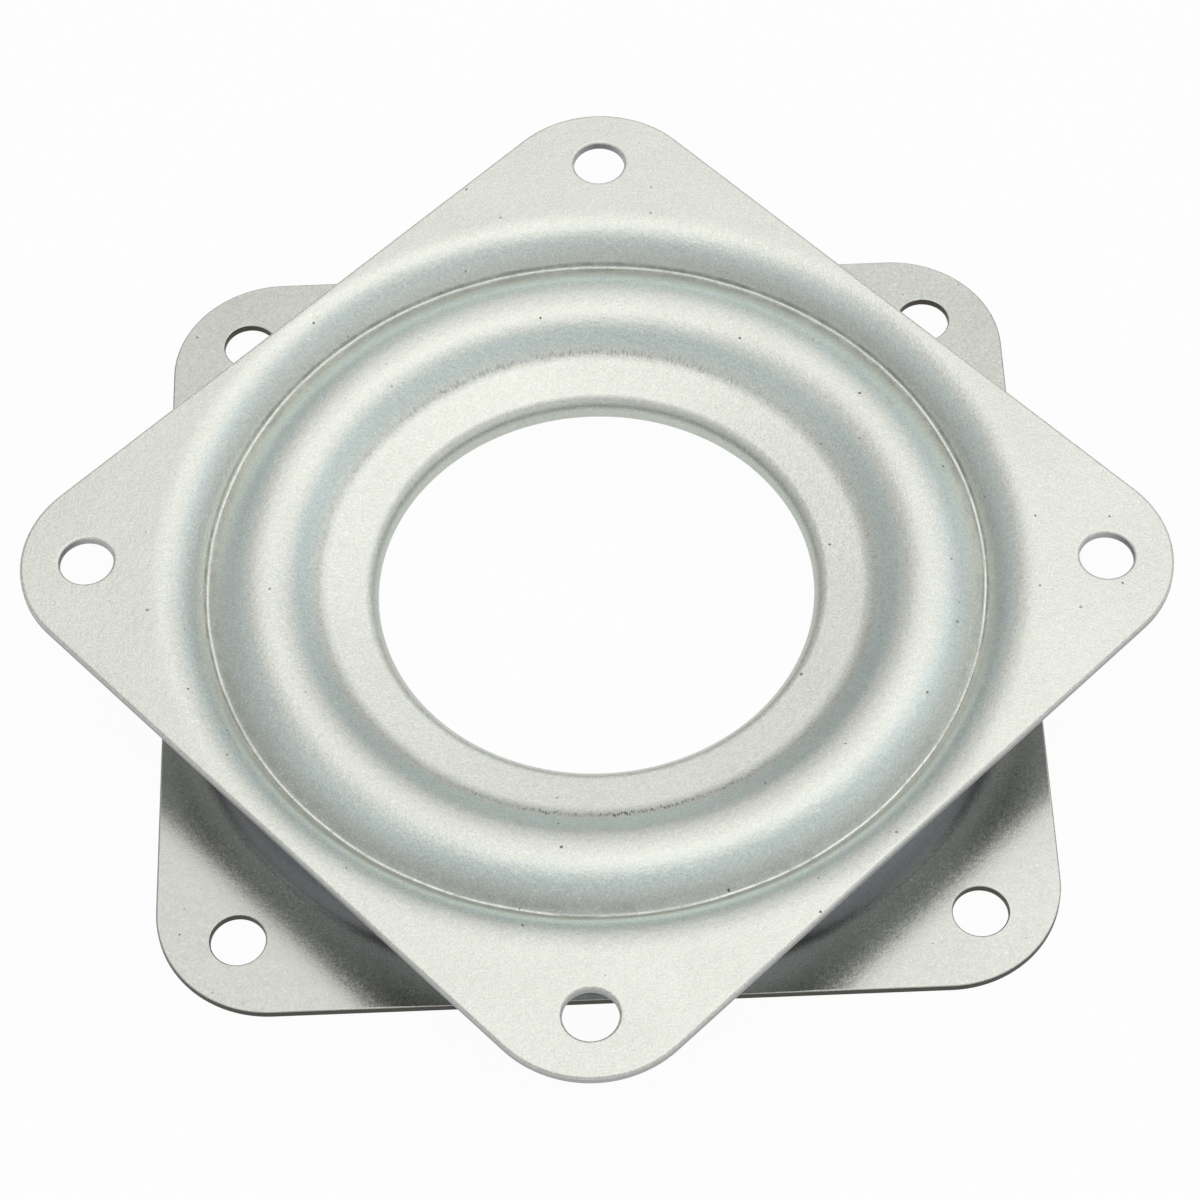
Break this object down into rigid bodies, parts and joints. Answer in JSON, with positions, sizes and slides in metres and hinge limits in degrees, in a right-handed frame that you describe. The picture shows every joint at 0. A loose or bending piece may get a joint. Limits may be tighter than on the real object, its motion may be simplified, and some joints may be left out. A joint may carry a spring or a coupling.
{
  "type": "lazy susan bearing",
  "caption": "Square lazy susan bearing: two pressed steel plates with screw holes that turn freely on a ring of loose balls round a large centre hole.",
  "frame": {"origin": "on the bearing's axis, in the plane of the lower plate's flange, on which the bearing rests", "axes": "+Z along the bearing's axis, from the lower plate to the upper one; X and Y along the lower plate's sides"},
  "size_m": [0.0914, 0.0914, 0.009],
  "materials": {
    "upper_plate_zinc": "satin zinc plating",
    "lower_plate_zinc": "satin zinc plating, a little duller",
    "ball_steel": "polished bearing steel"
  },
  "bodies": {
    "base": {"lower_plate": "lower_plate_zinc"},
    "turntable": {"upper_plate": "upper_plate_zinc"},
    "ball_ring": {"ball_01": "ball_steel", "ball_02": "ball_steel", "ball_03": "ball_steel", "ball_04": "ball_steel", "ball_05": "ball_steel", "ball_06": "ball_steel", "ball_07": "ball_steel", "ball_08": "ball_steel", "ball_09": "ball_steel", "ball_10": "ball_steel", "ball_11": "ball_steel", "ball_12": "ball_steel", "ball_13": "ball_steel", "ball_14": "ball_steel", "ball_15": "ball_steel", "ball_16": "ball_steel", "ball_17": "ball_steel", "ball_18": "ball_steel", "ball_19": "ball_steel", "ball_20": "ball_steel", "ball_21": "ball_steel", "ball_22": "ball_steel", "ball_23": "ball_steel", "ball_24": "ball_steel", "ball_25": "ball_steel", "ball_26": "ball_steel"}
  },
  "joints": [
    {"name": "plate_spin", "type": "hinge", "parent": "base", "child": "turntable", "pos_m": [0, 0, 0.0045], "axis": [0, 0, 1], "continuous": true},
    {"name": "ball_orbit", "type": "hinge", "parent": "base", "child": "ball_ring", "pos_m": [0, 0, 0.0045], "axis": [0, 0, 1], "continuous": true}
  ],
  "couplings": [
    {"joint": "ball_orbit", "follows": "plate_spin", "ratio": 0.5}
  ]
}
